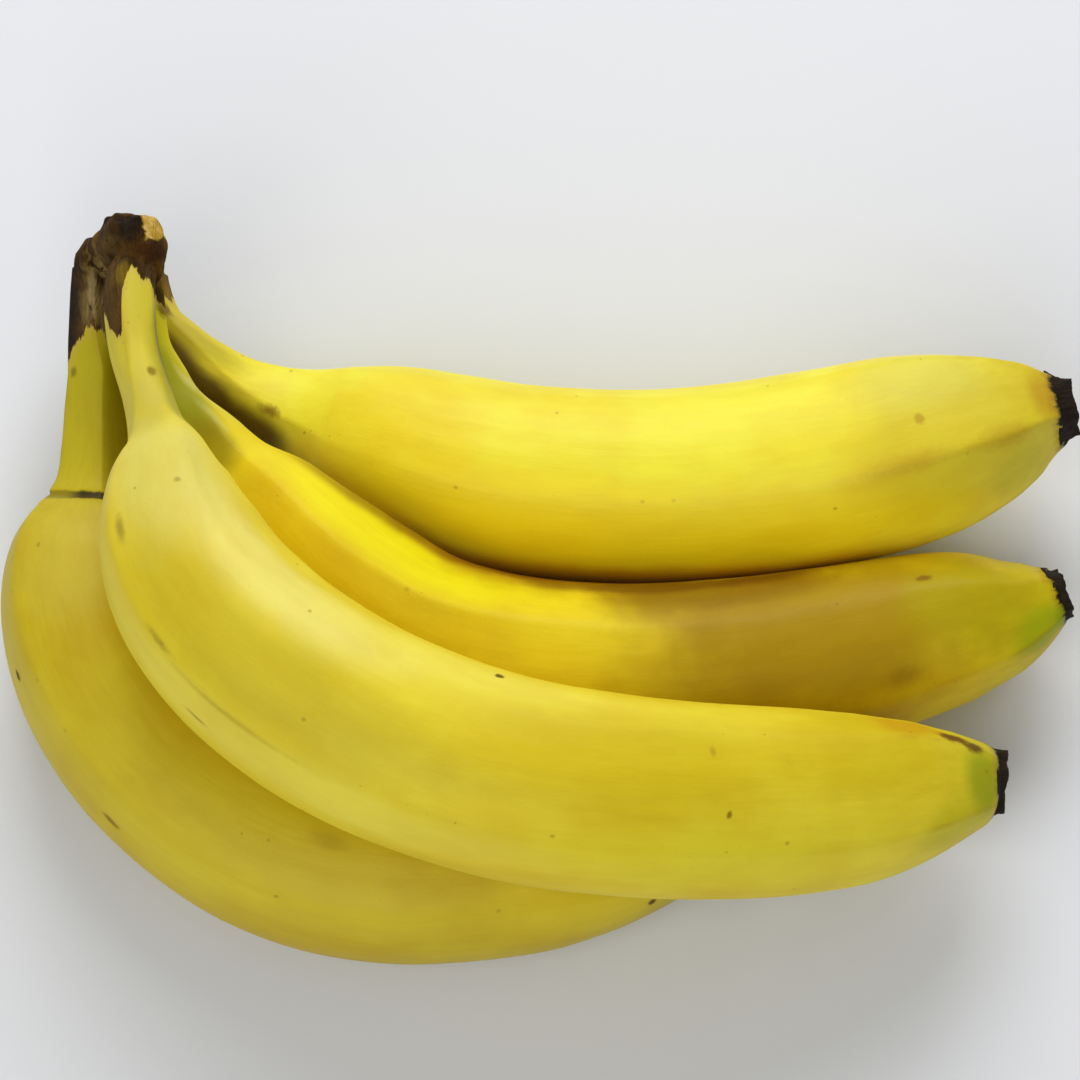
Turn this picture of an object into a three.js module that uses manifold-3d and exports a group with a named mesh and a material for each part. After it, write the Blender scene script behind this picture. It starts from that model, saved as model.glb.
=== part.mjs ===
// A bunch of four bananas that grow from one woody crown and lie on a flat surface.
// Millimetres, +Z up. The surface is z = 0, and the origin is under the middle of the bunch.
import * as THREE from "three";
import { mergeVertices } from "three/addons/utils/BufferGeometryUtils.js";
import Module from "manifold-3d";

const wasm = await Module();
wasm.setup();

// Sizes that all the bananas share
const pieceGap = 0.3; // clear space where two pieces meet
const ridgeCount = 5; // long ridges in the skin of a banana
const facetsPerRidge = 4; // facets from one ridge to the next
const ringsPerStation = 2; // rings of facets from one station of a path to the next
const pressedHeight = 0.5; // how much of a resting banana the surface flattens
const middle = { x: 0.5, y: 1.3 }; // of the whole bunch, in the coordinates of the paths

// The dried rest of the flower at the far end of a banana
const blossom = {
  sides: 15,
  rings: 5,
  width: 0.95, // its mean half thickness, as a share of the path's
  lobes: 5,
  lobeDepth: 0.08, // as a share of its half thickness
  dents: 2,
  dentDepth: 0.05, // as a share of its half thickness
  dentTurn: 3, // how far the dents wind round from one end to the other, in radians
  rimLeast: 0.14, // how far the rim stands out past the middle between the lobes
  rimMost: 0.7, // and on them
};

// The crown's bark
const bark = {
  grooves: 7,
  depth: 0.07, // as a share of the half thickness
  rootRings: 9,
  lumpSides: 18,
  lumpRings: 11,
};

// One path for each banana, from inside the crown to the end of the dried flower.
// A station is x, y, z and the half thickness of the banana there.
// A row of ridges is a distance along the path, the turn of the first ridge there, in degrees
// from straight up towards the hollow side of the curve, and how sharp the ridges are there:
// 0 is a round section and 1 a flat-sided one.
const fingers = [
  {
    letter: "a",
    crownReach: 8.5, // length of the path that belongs to the crown
    blossomLength: 3.4,
    blossomTurn: 3.3, // of its lobes, in radians
    ridges: [
      [15, 93, 0.8],
      [21, 87, 0.8],
      [28, 74, 0.7],
      [34, 60, 0.6],
      [42, 43, 0.45],
      [60, 41, 0.15],
      [145, 41, 0.12],
      [168, 41, 0.45],
      [190, 41, 0.75],
    ],
    skin: 0xf2d92b,
    stations: [
      [-76.5, 68.5, 24, 4.2],
      [-76, 62.5, 24, 4.6],
      [-74, 56.3, 23, 5],
      [-70.2, 51.8, 22, 5.6],
      [-65, 47.8, 20, 6],
      [-57.8, 43.9, 17.5, 6.8],
      [-49, 41.2, 15, 8.9],
      [-39.5, 37.6, 14.3, 13],
      [-28, 32.8, 16.4, 16.3],
      [-16.5, 28.5, 18.2, 17.9],
      [-3.5, 25.6, 18.7, 18.5],
      [19, 24, 18.9, 18.8],
      [38.5, 25.1, 20, 18.9],
      [55.5, 27.3, 22, 18.9],
      [68, 29.8, 24, 18.5],
      [78, 31.9, 25.5, 16.9],
      [87, 34.1, 26.5, 13.9],
      [93.5, 35.8, 27, 10.6],
      [98, 36.7, 27.3, 7.3],
      [101.5, 37.4, 27.5, 5.8],
    ],
  },
  {
    letter: "b",
    crownReach: 8,
    blossomLength: 1.8,
    blossomTurn: 4.43,
    ridges: [
      [15, 70, 0.75],
      [26, 63, 0.75],
      [33, 38, 0.8],
      [41, 18, 0.7],
      [55, 12, 0.65],
      [75, 8, 0.65],
      [100, 12, 0.6],
      [122, 16, 0.4],
      [148, 14, 0.14],
      [190, 14, 0.16],
      [215, 14, 0.55],
    ],
    skin: 0xecd02e,
    stations: [
      [-76.7, 64.5, 34, 4.2],
      [-76.7, 56.5, 34, 5],
      [-75.5, 46, 34, 5.3],
      [-73, 40.5, 33.5, 5.7],
      [-69.5, 35, 32.5, 6.3],
      [-64, 29, 31.5, 7],
      [-58.5, 22, 31, 8.7],
      [-52.5, 15.5, 31, 11.7],
      [-44, 5.5, 31, 14.6],
      [-35, -2.5, 28.5, 16.4],
      [-24, -9.5, 25, 17.6],
      [-12.5, -13, 22, 18.3],
      [1.5, -15, 20, 18.7],
      [19, -15.2, 18.6, 18.7],
      [38, -13.4, 17.8, 18.4],
      [55, -9.9, 17.3, 17.4],
      [69.5, -6.3, 17.6, 16.1],
      [80, -4.1, 19, 14.4],
      [88.5, -2.4, 20, 11.4],
      [94.5, -0.4, 21, 8.1],
      [98, 1, 21.4, 5.7],
      [99.5, 1.5, 21.5, 5.1],
    ],
  },
  {
    letter: "c",
    crownReach: 9,
    blossomLength: 2.2,
    blossomTurn: 0.43,
    ridges: [
      [20, 56, 0.6],
      [30, 44, 0.4],
      [43, 25, 0.35],
      [60, 20, 0.3],
      [90, 22, 0.32],
      [120, 22, 0.24],
      [200, 22, 0.2],
      [230, 22, 0.5],
    ],
    skin: 0xd9cc45,
    stations: [
      [-76.5, 61.5, 44, 4.2],
      [-77.5, 54, 45, 4.9],
      [-76.5, 42.5, 46, 4.8],
      [-73.8, 32, 47.5, 4.8],
      [-72, 24.5, 49, 5.7],
      [-70.3, 18.5, 51, 8.3],
      [-69.4, 10.5, 53.5, 12.3],
      [-67.4, 1, 55, 15.5],
      [-62.5, -10.5, 56, 17.5],
      [-54, -21.2, 56.5, 18.6],
      [-43, -30.2, 56.5, 19.2],
      [-30.5, -37.5, 56, 19.3],
      [-16.5, -43, 55, 19.2],
      [-2, -46.6, 53.5, 19.1],
      [13, -47.8, 50, 18.8],
      [29.5, -47, 43.5, 18.4],
      [46.5, -44.9, 36.7, 17.6],
      [60, -42.6, 31.8, 16.2],
      [70, -40.3, 28.7, 13.7],
      [78, -38.5, 26.5, 10.6],
      [83.5, -37.6, 25.2, 7.9],
      [85.4, -37.5, 24.9, 6.5],
      [86.8, -37.6, 24.8, 5.8],
    ],
  },
  {
    letter: "d",
    crownReach: 16.5,
    blossomLength: 3,
    blossomTurn: 6.15,
    ridges: [
      [18, -1, 0.9],
      [25, 12, 0.95],
      [32, 9, 0.95],
      [47, 11, 0.8],
      [60, 18, 0.4],
      [85, 25, 0.25],
      [190, 25, 0.25],
      [215, 25, 0.6],
    ],
    skin: 0xcdb938,
    stations: [
      [-85, 68.5, 27, 4.6],
      [-85.1, 60.5, 27, 4.9],
      [-84.9, 50, 27, 5.3],
      [-84.6, 39, 26.5, 6.1],
      [-84.6, 29, 26, 6.8],
      [-84.8, 22, 25, 7.8],
      [-85.3, 16.5, 24, 11.2],
      [-86, 9, 22.7, 15.7],
      [-85.2, -0.5, 20.7, 18],
      [-82.2, -12.7, 19.2, 18.2],
      [-74.3, -26.3, 18.6, 18.2],
      [-64, -37, 18.4, 18.2],
      [-52, -45, 18.4, 18.4],
      [-39, -50, 18.4, 18.4],
      [-25.5, -52, 18.4, 18.2],
      [-11.5, -52, 17.9, 17.3],
      [2, -50.7, 16.5, 16.1],
      [13, -49, 14.7, 13.5],
      [23.5, -46.7, 12.7, 10],
      [32, -44.8, 11.2, 6.7],
      [36, -43.6, 10.6, 5.2],
      [39, -42.6, 10.3, 4.6],
    ],
  },
];

// Lumps of the crown: where they sit, their half sizes and their turn about Z in degrees
const crownLumps = [
  { at: [-79.5, 66, 37], half: [5.2, 6, 10.5], turn: 0 }, // the stalk's stub
  { at: [-81.3, 69.2, 40.2], half: [2, 2.3, 2.8], turn: 0 }, // its corner
  { at: [-75.5, 63.7, 44], half: [4.9, 6.1, 6], turn: 12 }, // the knob over the neck of banana c
  { at: [-74.2, 59.6, 42.5], half: [2.7, 3.2, 4.4], turn: 0 }, // its small lobe
  { at: [-80.5, 67, 31], half: [6.2, 6, 8.5], turn: 0 }, // the wood between the necks
  { at: [-85, 66.6, 28], half: [4.5, 5, 5.3], turn: 0 }, // the shoulder over the neck of banana d
];

// Where the knife left the crown: a point on each cut and the way the cut faces
const knifeCuts = [
  { at: [-80, 71, 38], facing: [0.05, 1, 0.1] },
  { at: [-73, 65.8, 47.4], facing: [0.52, 0.36, 0.78] },
];
const knifeBlock = 60; // size of the block that each cut takes away
const surfaceSide = 400;
const surfaceDepth = 20;

const mergeDistance = 1e-4; // vertices closer than this are one

const skinRoughness = 0.45;
const barkLook = { color: 0x3a2810, roughness: 0.85 };
const driedLook = { color: 0x1c120a, roughness: 0.9 };

function solidOf(geometry) {
  const bare = geometry.clone();
  bare.deleteAttribute("normal");
  bare.deleteAttribute("uv");
  const merged = mergeVertices(bare, mergeDistance);
  return new wasm.Manifold(
    new wasm.Mesh({
      numProp: 3,
      vertProperties: new Float32Array(merged.attributes.position.array),
      triVerts: new Uint32Array(merged.index.array),
    }),
  );
}

function geometryOf(solid) {
  const mesh = solid.getMesh();
  const geometry = new THREE.BufferGeometry();
  geometry.setAttribute("position", new THREE.BufferAttribute(mesh.vertProperties, 3));
  geometry.setIndex(new THREE.BufferAttribute(mesh.triVerts, 1));
  geometry.computeVertexNormals();
  return geometry;
}

// The path and the half thickness share one parameter, so a station's size stays at its place.
function pathOf(finger) {
  const curve = new THREE.CatmullRomCurve3(
    finger.stations.map(([x, y, z]) => new THREE.Vector3(x, y, z)),
    false,
    "centripetal",
  );
  const girth = new THREE.SplineCurve(
    finger.stations.map(([, , , half], index) => new THREE.Vector2(index, half)),
  );
  const lengths = curve.getLengths();
  return {
    length: lengths.at(-1),
    parameterAt: (distance) => curve.getUtoTmapping(0, distance),
    distanceAt: (t) => {
      const place = t * (lengths.length - 1);
      const before = Math.min(Math.floor(place), lengths.length - 2);
      return THREE.MathUtils.lerp(lengths[before], lengths[before + 1], place - before);
    },
    at: (t) => {
      const along = curve.getTangent(t);
      const inward = new THREE.Vector3(0, 0, 1).cross(along).normalize();
      return {
        centre: curve.getPoint(t),
        half: girth.getPoint(t).y,
        along,
        inward, // the hollow side of the curve, level
        upward: along.clone().cross(inward),
      };
    },
  };
}

// Bends a closed cylinder along the path from one parameter to another. Its rows of vertices
// turn with rowTurn, and the relief gives the section's outline and how far a point stands out
// past its own ring, at an angle from the first row.
function bentTube(path, from, to, { sides, rings, rowTurn }, relief) {
  const tube = new THREE.CylinderGeometry(1, 1, 1, sides, rings);
  const points = tube.attributes.position;
  for (let i = 0; i < points.count; i++) {
    const share = 0.5 - points.getY(i);
    const fromAxis = Math.hypot(points.getX(i), points.getZ(i));
    const fromFirstRow = Math.atan2(points.getX(i), points.getZ(i));
    const t = from + (to - from) * share;
    const place = path.at(t);
    const onRim = share === 1 && fromAxis > 0.5;
    const { outline, standOut } = relief(fromFirstRow, share, t, onRim);
    const angle = fromFirstRow + rowTurn(t);
    const reach = fromAxis * place.half * outline;
    const point = place.centre
      .addScaledVector(place.upward, reach * Math.cos(angle))
      .addScaledVector(place.inward, reach * Math.sin(angle))
      .addScaledVector(place.along, standOut);
    points.setXYZ(i, point.x, point.y, point.z);
  }
  return tube;
}

// A rounded five-sided section: its half thickness is 1 on average, and one ridge is at angle 0.
function ridgedOutline(angle, sharpness) {
  const halfSide = Math.PI / ridgeCount;
  const fromRidge = THREE.MathUtils.euclideanModulo(angle + halfSide, 2 * halfSide) - halfSide;
  const flatSided = Math.cos(halfSide) / Math.cos(halfSide - Math.abs(fromRidge));
  const mean = (1 + Math.cos(halfSide) ** sharpness) / 2;
  return flatSided ** sharpness / mean;
}

// The turn and the sharpness of the ridges, which change evenly from one row to the next
function ridgesAt({ ridges }, distance) {
  const next = ridges.findIndex(([along]) => along > distance);
  const after = next < 0 ? ridges.at(-1) : ridges[next];
  const before = next > 0 ? ridges[next - 1] : after;
  const share = after === before ? 0 : (distance - before[0]) / (after[0] - before[0]);
  const [, turn, sharpness] = after.map((value, column) => {
    return THREE.MathUtils.lerp(before[column], value, share);
  });
  return { turn: THREE.MathUtils.degToRad(turn), sharpness };
}

// What bentTube needs to make its rows of vertices follow the ridges
function skinRows(finger, path) {
  return (t) => ridgesAt(finger, path.distanceAt(t)).turn;
}

function skinOutline(finger, path, angle, t) {
  return ridgedOutline(angle, ridgesAt(finger, path.distanceAt(t)).sharpness);
}

function bananaSolid(finger, path) {
  const from = path.parameterAt(finger.crownReach + pieceGap / 2);
  const to = path.parameterAt(path.length - finger.blossomLength - pieceGap / 2);
  const stationsPassed = (to - from) * (finger.stations.length - 1);
  const facets = {
    sides: ridgeCount * facetsPerRidge,
    rings: Math.round(stationsPassed * ringsPerStation),
    rowTurn: skinRows(finger, path),
  };
  const relief = (angle, share, t) => {
    return { outline: skinOutline(finger, path, angle, t), standOut: 0 };
  };
  return solidOf(bentTube(path, from, to, facets, relief));
}

function blossomSolid(finger, path) {
  const from = path.parameterAt(path.length - finger.blossomLength + pieceGap / 2);
  const relief = (angle, share, t, onRim) => {
    const lobe = Math.cos(blossom.lobes * angle + finger.blossomTurn);
    const dent = Math.cos(blossom.dents * angle + blossom.dentTurn * share + finger.blossomTurn);
    const rim = THREE.MathUtils.lerp(blossom.rimLeast, blossom.rimMost, (1 + lobe) / 2);
    return {
      outline: blossom.width + blossom.lobeDepth * lobe * share + blossom.dentDepth * dent,
      standOut: onRim ? rim : 0,
    };
  };
  const facets = { sides: blossom.sides, rings: blossom.rings, rowTurn: () => 0 };
  return solidOf(bentTube(path, from, 1, facets, relief));
}

function rootSolid(finger, path) {
  const to = path.parameterAt(finger.crownReach - pieceGap / 2);
  const relief = (angle, share, t) => {
    const groove = Math.cos(bark.grooves * angle);
    const rough = 1 + bark.depth * (1 - share) * groove;
    return { outline: skinOutline(finger, path, angle, t) * rough, standOut: 0 };
  };
  const facets = {
    sides: ridgeCount * facetsPerRidge,
    rings: bark.rootRings,
    rowTurn: skinRows(finger, path),
  };
  return solidOf(bentTube(path, 0, to, facets, relief));
}

function lumpSolid({ at, half, turn }) {
  const ball = new THREE.SphereGeometry(1, bark.lumpSides, bark.lumpRings);
  const points = ball.attributes.position;
  for (let i = 0; i < points.count; i++) {
    const angle = Math.atan2(points.getX(i), points.getZ(i));
    const groove = Math.cos(bark.grooves * angle);
    const rough = 1 + bark.depth * groove * (1 - points.getY(i) ** 2);
    points.setXYZ(i, points.getX(i) * rough, points.getY(i), points.getZ(i) * rough);
  }
  ball.scale(...half);
  ball.rotateZ(THREE.MathUtils.degToRad(turn));
  ball.translate(...at);
  return solidOf(ball);
}

function knifeSolid({ at, facing }) {
  const block = new THREE.BoxGeometry(knifeBlock, knifeBlock, knifeBlock);
  block.translate(0, 0, knifeBlock / 2);
  const away = new THREE.Vector3(...facing).normalize();
  block.applyQuaternion(new THREE.Quaternion().setFromUnitVectors(new THREE.Vector3(0, 0, 1), away));
  block.translate(...at);
  return solidOf(block);
}

function meshOf(name, solid, { color, roughness }) {
  const material = new THREE.MeshStandardMaterial({ color, roughness, metalness: 0 });
  const mesh = new THREE.Mesh(geometryOf(solid), material);
  mesh.name = name;
  return mesh;
}

// The surface that the bunch lies on, as a block that takes away what would reach below it
function surfaceBlock() {
  const block = new THREE.BoxGeometry(surfaceSide, surfaceSide, surfaceDepth);
  block.translate(0, 0, pressedHeight - surfaceDepth / 2);
  return solidOf(block);
}

const bunch = new THREE.Group();
bunch.position.set(-middle.x, -middle.y, -pressedHeight);
const surface = surfaceBlock();
let crown = crownLumps.map(lumpSolid).reduce((whole, lump) => whole.add(lump));
for (const finger of fingers) {
  const path = pathOf(finger);
  crown = crown.add(rootSolid(finger, path));
  const banana = bananaSolid(finger, path).subtract(surface);
  const skinLook = { color: finger.skin, roughness: skinRoughness };
  bunch.add(meshOf(`banana_${finger.letter}`, banana, skinLook));
  bunch.add(meshOf(`blossom_end_${finger.letter}`, blossomSolid(finger, path), driedLook));
}
for (const cut of knifeCuts) {
  crown = crown.subtract(knifeSolid(cut));
}
bunch.add(meshOf("crown", crown, barkLook));

export default bunch;
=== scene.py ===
import math

import bmesh
import bpy
import numpy as np
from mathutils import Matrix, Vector, noise


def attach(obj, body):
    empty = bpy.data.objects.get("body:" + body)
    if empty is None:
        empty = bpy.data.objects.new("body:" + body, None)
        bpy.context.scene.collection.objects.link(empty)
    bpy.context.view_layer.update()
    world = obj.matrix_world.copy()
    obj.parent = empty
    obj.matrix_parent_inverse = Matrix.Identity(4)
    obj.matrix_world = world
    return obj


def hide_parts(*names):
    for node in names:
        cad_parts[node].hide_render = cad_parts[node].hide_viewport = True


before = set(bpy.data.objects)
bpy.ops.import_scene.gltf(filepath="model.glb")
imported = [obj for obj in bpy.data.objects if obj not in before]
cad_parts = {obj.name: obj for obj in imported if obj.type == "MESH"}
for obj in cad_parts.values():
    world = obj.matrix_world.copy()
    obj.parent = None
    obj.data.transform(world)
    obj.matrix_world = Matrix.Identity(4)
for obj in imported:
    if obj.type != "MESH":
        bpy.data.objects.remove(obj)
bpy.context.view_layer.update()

# A bunch of four ripe bananas on one dried crown, lying on a pale surface.
# Paths, sizes and noise spacings are in millimetres, and only finished meshes are in metres.
mm = 0.001
pathOrigin = np.array([0.5, 1.3, 0.5])  # the frame's origin, in the coordinates of the paths
ridgeCount = 5
ridgeRounding = 0.03  # radians on each side of a ridge


# Paths and meshes

def rampOf(value, low, high):
    share = np.clip((value - low) / (high - low), 0, 1)
    return share * share * (3 - 2 * share)


def roughOf(points, spacing, seed):  # smooth noise from -1 to 1 at each point
    offset = Vector((seed * 7.31, seed * 3.17, seed * 5.73))
    return np.array([noise.noise(Vector(p) / spacing + offset) for p in points])


# The way a banana grows: where its middle is, how thick it is and which way is up, at any distance
def pathOf(stations):
    table = np.array(stations, float)
    knots = table[:, :3] - pathOrigin
    padded = np.vstack([2 * knots[0] - knots[1], knots, 2 * knots[-1] - knots[-2]])
    halves = np.concatenate([table[:1, 3], table[:, 3], table[-1:, 3]])
    last = len(knots) - 1

    def spotOf(t):
        place = np.clip(t, 0, 1) * last
        index = np.minimum(place.astype(int), last - 1)
        return index, place - index

    def middleAt(t):
        index, w = spotOf(t)
        w = w[:, None]
        near = [padded[index + k] for k in range(4)]
        d0, d1, d2 = (np.sqrt(np.linalg.norm(b - a, axis=1))[:, None] for a, b in zip(near, near[1:]))
        p0, p1, p2, p3 = near
        m1 = ((p1 - p0) / d0 - (p2 - p0) / (d0 + d1) + (p2 - p1) / d1) * d1
        m2 = ((p2 - p1) / d1 - (p3 - p1) / (d1 + d2) + (p3 - p2) / d2) * d1
        return p1 + m1 * w + (3 * (p2 - p1) - 2 * m1 - m2) * w**2 + (2 * (p1 - p2) + m1 + m2) * w**3

    def halfAt(t):
        index, w = spotOf(t)
        h0, h1, h2, h3 = (halves[index + k] for k in range(4))
        v0, v1 = (h2 - h0) / 2, (h3 - h1) / 2
        return h1 + v0 * w + (3 * (h2 - h1) - 2 * v0 - v1) * w**2 + (2 * (h1 - h2) + v0 + v1) * w**3

    steps = np.linspace(0, 1, 6001)
    lengths = np.concatenate([[0], np.cumsum(np.linalg.norm(np.diff(middleAt(steps), axis=0), axis=1))])

    def at(distance):
        t = np.interp(distance, lengths, steps)
        along = middleAt(np.minimum(t + 1e-4, 1)) - middleAt(np.maximum(t - 1e-4, 0))
        along /= np.linalg.norm(along, axis=1)[:, None]
        inward = np.cross([0.0, 0.0, 1.0], along)  # the hollow side of the curve, level
        inward /= np.linalg.norm(inward, axis=1)[:, None]
        return middleAt(t), halfAt(t), along, inward, np.cross(along, inward)

    return {"length": lengths[-1], "at": at}


# The angle of the first ridge, as it turns from the neck to the body. The others stand evenly from it.
def ridgeAt(banana, distance):
    places, degrees, _ = zip(*banana["ridges"])
    return np.radians(np.interp(distance, places, degrees))


# How sharp the ridges are: 0 is a round section and 1 a flat-sided one
def sharpnessOf(banana, distance):
    places, _, sharpness = zip(*banana["ridges"])
    return np.interp(distance, places, sharpness)


# The distance in radians from the nearest ridge, rounded off on the ridge itself
def fromRidge(angle, ridge, rounding):
    side = math.pi / ridgeCount
    turned = np.mod(angle - ridge + side, 2 * side) - side
    return np.sqrt(turned**2 + rounding**2)


# How far the skin stands from the middle at an angle, as a share of half the thickness
def outlineOf(angle, ridge, sharpness):
    side = math.pi / ridgeCount
    away = np.minimum(fromRidge(angle, ridge, ridgeRounding), side)
    flatSided = math.cos(side) / np.cos(side - away)
    return flatSided**sharpness / ((1 + math.cos(side) ** sharpness) / 2)


def meshOf(name, vertices, faces, layers=None):
    mesh = bpy.data.meshes.new(name)
    mesh.from_pydata([tuple(v) for v in vertices], [], faces)
    mesh.validate()
    work = bmesh.new()
    work.from_mesh(mesh)
    bmesh.ops.recalc_face_normals(work, faces=work.faces)
    work.to_mesh(mesh)
    work.free()
    for layer, values in (layers or {}).items():
        kind, part = ("FLOAT_VECTOR", "vector") if values.ndim == 2 else ("FLOAT", "value")
        attribute = mesh.attributes.new(layer, kind, "POINT")
        attribute.data.foreach_set(part, values.astype(np.float32).ravel())
    mesh.shade_smooth()
    piece = bpy.data.objects.new(name, mesh)
    bpy.context.scene.collection.objects.link(piece)
    return piece


# Faces of a closed tube whose vertices are rings one after the other, then its two end points
def tubeFaces(rings, sides):
    faces = []
    for i in range(rings - 1):
        for j in range(sides):
            k = (j + 1) % sides
            faces.append((i * sides + j, (i + 1) * sides + j, (i + 1) * sides + k, i * sides + k))
    near, far = rings * sides, rings * sides + 1
    top = (rings - 1) * sides
    for j in range(sides):
        k = (j + 1) % sides
        faces.append((near, j, k))
        faces.append((far, top + k, top + j))
    return faces


def tubePoints(path, distances, angles, outline):  # the outline is given for each ring and angle
    middle, half, _, inward, upward = path["at"](distances)
    reach = half[:, None] * outline
    up, across = np.cos(angles)[None, :, None], np.sin(angles)[None, :, None]
    return middle[:, None] + reach[..., None] * (up * upward[:, None] + across * inward[:, None])


# The bananas
# Distances are in mm along a banana's path, from inside the crown. Angles are in degrees from straight
# up, towards the hollow side of the curve. Colours are as on a screen, from 0 to 255.
# ridges: a distance, the angle of the first ridge there and how sharp the ridges are
# stations: x, y and z of the middle line, and half the thickness
# barkEdge: an angle, and the distance to which the brown bark reaches there
# crownReach and blossomLength: how much of the path the crown and the dried flower cover at its two ends
# neckReach and tipReach: how far the tints of the neck and of the tip run
# marks are small and have an outline, and washes are wide and soft; some washes are painted shade, painted
# highlights or painted bounce light, as marked

def patch(along, angle, size, color, amount, soft=0.45):  # the size is across and lengthwise
    return {"along": along, "angle": angle, "size": size, "color": color, "amount": amount, "soft": soft}


bananaA = {
    "name": "banana_a",
    "shine": 0.34,
    "crownReach": 8.5,
    "blossomLength": 3.4,
    "blossomTurn": 3.3,
    "ridges": [
        (15, 93, 0.8), (21, 87, 0.8), (28, 74, 0.7), (34, 60, 0.6), (42, 43, 0.45), (60, 41, 0.15),
        (145, 41, 0.12), (168, 41, 0.45), (190, 41, 0.75),
    ],
    "stations": [
        [-76.5, 68.5, 24, 4.2], [-76, 62.5, 24, 4.6], [-74, 56.3, 23, 5], [-70.2, 51.8, 22, 5.6],
        [-65, 47.8, 20, 6], [-57.8, 43.9, 17.5, 6.8], [-49, 41.2, 15, 8.9], [-39.5, 37.6, 14.3, 13],
        [-28, 32.8, 16.4, 16.3], [-16.5, 28.5, 18.2, 17.9], [-3.5, 25.6, 18.7, 18.5],
        [19, 24, 18.9, 18.8], [38.5, 25.1, 20, 18.9], [55.5, 27.3, 22, 18.9], [68, 29.8, 24, 18.5],
        [78, 31.9, 25.5, 16.9], [87, 34.1, 26.5, 13.9], [93.5, 35.8, 27, 10.6], [98, 36.7, 27.3, 7.3],
        [101.5, 37.4, 27.5, 5.8],
    ],
    "barkEdge": [(0, 9.5), (60, 9), (120, 10), (180, 10), (240, 13), (300, 12)],
    "ripe": (243, 235, 54),
    "deep": (238, 212, 20),
    "neckTint": (204, 182, 14),
    "tipTint": (210, 184, 14),
    "neckReach": 30,
    "tipReach": 22,
    "marks": [
        patch(170.5, -4, (1.1, 0.9), (176, 136, 14), 0.6),
        patch(168, -29, (1.6, 8), (188, 148, 0), 0.5, 0.95),
        patch(185, -31, (1.8, 9), (182, 144, 0), 0.6, 0.95),
        patch(40, -27, (1, 2.4), (130, 88, 4), 0.7, 0.7),
        patch(12, 30, (1.2, 2.2), (92, 60, 6), 0.8, 0.6),
    ],
    "washes": [
        # painted light: the lower side, which lies in shade, is made paler
        patch(108, -60, (17, 76), (255, 228, 6), 0.85),
        # painted shade: the underside where banana a lies against banana b, darkening to a red-brown band at
        # the contact
        patch(104, -98, (9, 66), (236, 154, 0), 0.8),
        patch(108, -118, (7.4, 66), (130, 40, 0), 0.9),
        patch(178, -20, (20, 30), (212, 190, 26), 0.7),
        # painted highlight on the upper side near the tip
        patch(172, 26, (10, 18), (214, 204, 66), 0.55),
        patch(186, -66, (8, 9), (196, 184, 0), 0.6),
        patch(194, 5, (7, 4.5), (196, 148, 8), 0.7),
        # painted shade: the underside of the neck, which faces away from the light over the neck of banana
        # b, in dark brown
        patch(19, -30, (4.4, 9), (88, 58, 0), 0.9),
        patch(28, -47, (5, 10), (84, 56, 0), 0.9),
        patch(38, -71, (6, 15), (92, 60, 0), 0.9),
        patch(58, -90, (8, 24), (116, 76, 0), 0.85),
        patch(22, 30, (4, 14), (170, 158, 0), 0.6),
    ],
}
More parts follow.
